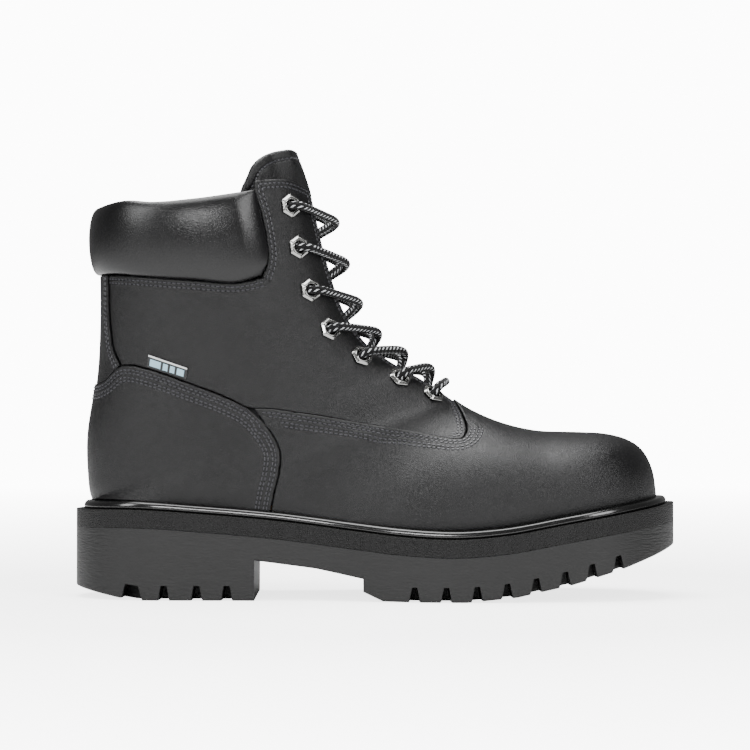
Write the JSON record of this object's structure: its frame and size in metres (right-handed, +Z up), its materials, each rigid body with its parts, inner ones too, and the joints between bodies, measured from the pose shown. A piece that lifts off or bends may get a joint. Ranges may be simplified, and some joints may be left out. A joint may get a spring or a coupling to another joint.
{
  "type": "steel toe work boot",
  "caption": "Ankle high black leather lace-up work boot with a steel toe, padded collar, hexagonal eyelets and a thick lugged rubber sole, right foot.",
  "frame": {"origin": "middle of the sole's footprint, on the ground", "axes": "+X towards the toe, +Y towards the inner (medial) side of a right boot, +Z up"},
  "size_m": [0.311, 0.1142, 0.2319],
  "materials": {
    "outsole_rubber": "brushed matte black rubber with moulded lugs",
    "midsole_rubber": "finely stippled matte black rubber",
    "welt_rubber": "smooth glossy black bead",
    "cork": "granulated cork",
    "bare_steel": "pressed and lacquered steel",
    "fibre_board": "pressed brown fibre board",
    "footbed_foam": "grey cloth over open cell foam",
    "upper_leather": "black full grain leather, satin, fine grain",
    "edge_rubber": "soft black rubber",
    "lining_fabric": "charcoal brushed cloth",
    "woven_tape": "black woven tape with a plain pale block pattern",
    "collar_leather": "smooth soft black leather over foam",
    "lace_braid": "round braid, black with grey flecks",
    "clear_plastic": "heat shrunk dark clear plastic",
    "eyelet_metal": "nickel plated hexagonal flange"
  },
  "bodies": {
    "boot": {"outsole": "outsole_rubber", "midsole": "midsole_rubber", "welt": "welt_rubber", "cork_filler": "cork", "steel_shank": "bare_steel", "insole_board": "fibre_board", "footbed": "footbed_foam", "vamp": "upper_leather", "counter_cover": "upper_leather", "backstay": "upper_leather", "quarter_lateral": "upper_leather", "quarter_medial": "upper_leather", "steel_toe_cap": "bare_steel", "toe_cap_edge": "edge_rubber", "heel_stiffener": "fibre_board", "shaft_lining": "lining_fabric", "vamp_lining": "lining_fabric", "side_tag": "woven_tape", "collar_pad": "collar_leather", "lace": "lace_braid", "aglet_lateral": "clear_plastic", "aglet_medial": "clear_plastic", "eyelet_lateral_1": "eyelet_metal", "eyelet_lateral_2": "eyelet_metal", "eyelet_lateral_3": "eyelet_metal", "eyelet_lateral_4": "eyelet_metal", "eyelet_lateral_5": "eyelet_metal", "eyelet_lateral_6": "eyelet_metal", "eyelet_lateral_7": "eyelet_metal", "eyelet_medial_1": "eyelet_metal", "eyelet_medial_2": "eyelet_metal", "eyelet_medial_3": "eyelet_metal", "eyelet_medial_4": "eyelet_metal", "eyelet_medial_5": "eyelet_metal", "eyelet_medial_6": "eyelet_metal", "eyelet_medial_7": "eyelet_metal"},
    "tongue": {"tongue": "collar_leather"}
  },
  "joints": [
    {"name": "tongue_fold", "type": "hinge", "parent": "boot", "child": "tongue", "pos_m": [0.044, 0, 0.089], "axis": [0, 1, 0], "range_deg": [-5, 0]}
  ]
}
